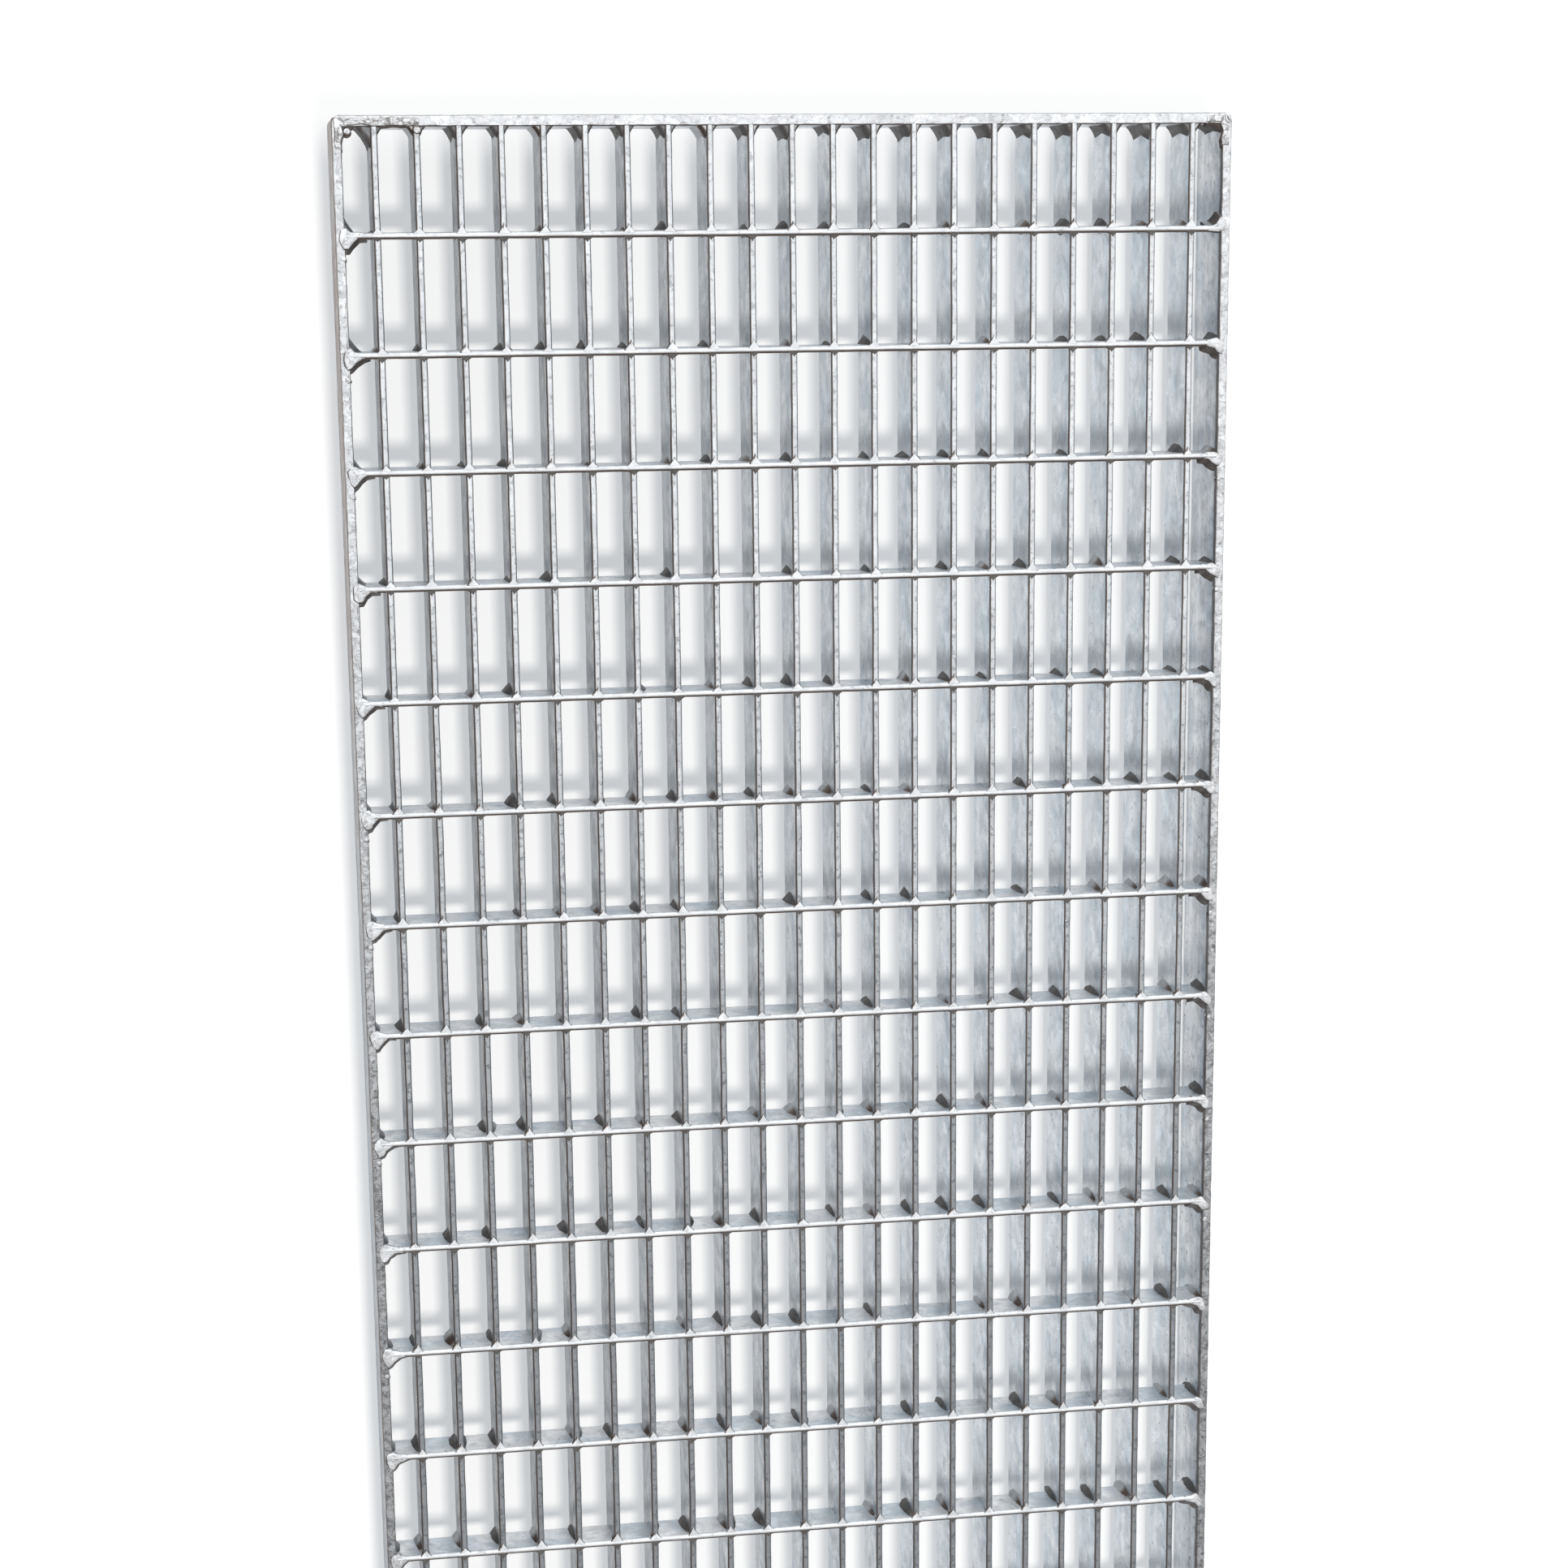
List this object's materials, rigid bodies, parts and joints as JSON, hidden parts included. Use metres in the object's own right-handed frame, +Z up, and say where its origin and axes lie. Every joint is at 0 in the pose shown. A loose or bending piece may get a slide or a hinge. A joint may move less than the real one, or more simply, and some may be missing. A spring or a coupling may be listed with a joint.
{
  "type": "steel grating panel",
  "caption": "Flat press-locked steel grating panel with close bearing bars, shallower cross bars and a deeper welded flat-bar frame.",
  "frame": {"origin": "middle of the panel's footprint, on the plane that its frame rests on", "axes": "+Y along the length, parallel to the bearing bars; +X along the cross bars; +Z up out of the walking face"},
  "size_m": [0.264, 0.5, 0.025],
  "materials": {
    "zinc_mesh": "hot-dip galvanised, bright edges and blue-grey mottled sides",
    "zinc_frame": "hot-dip galvanised, rough and mottled"
  },
  "bodies": {
    "root": {"bar_mesh": "zinc_mesh", "side_bar_left": "zinc_frame", "side_bar_right": "zinc_frame", "end_bar_top": "zinc_frame", "end_bar_bottom": "zinc_frame"}
  },
  "joints": []
}
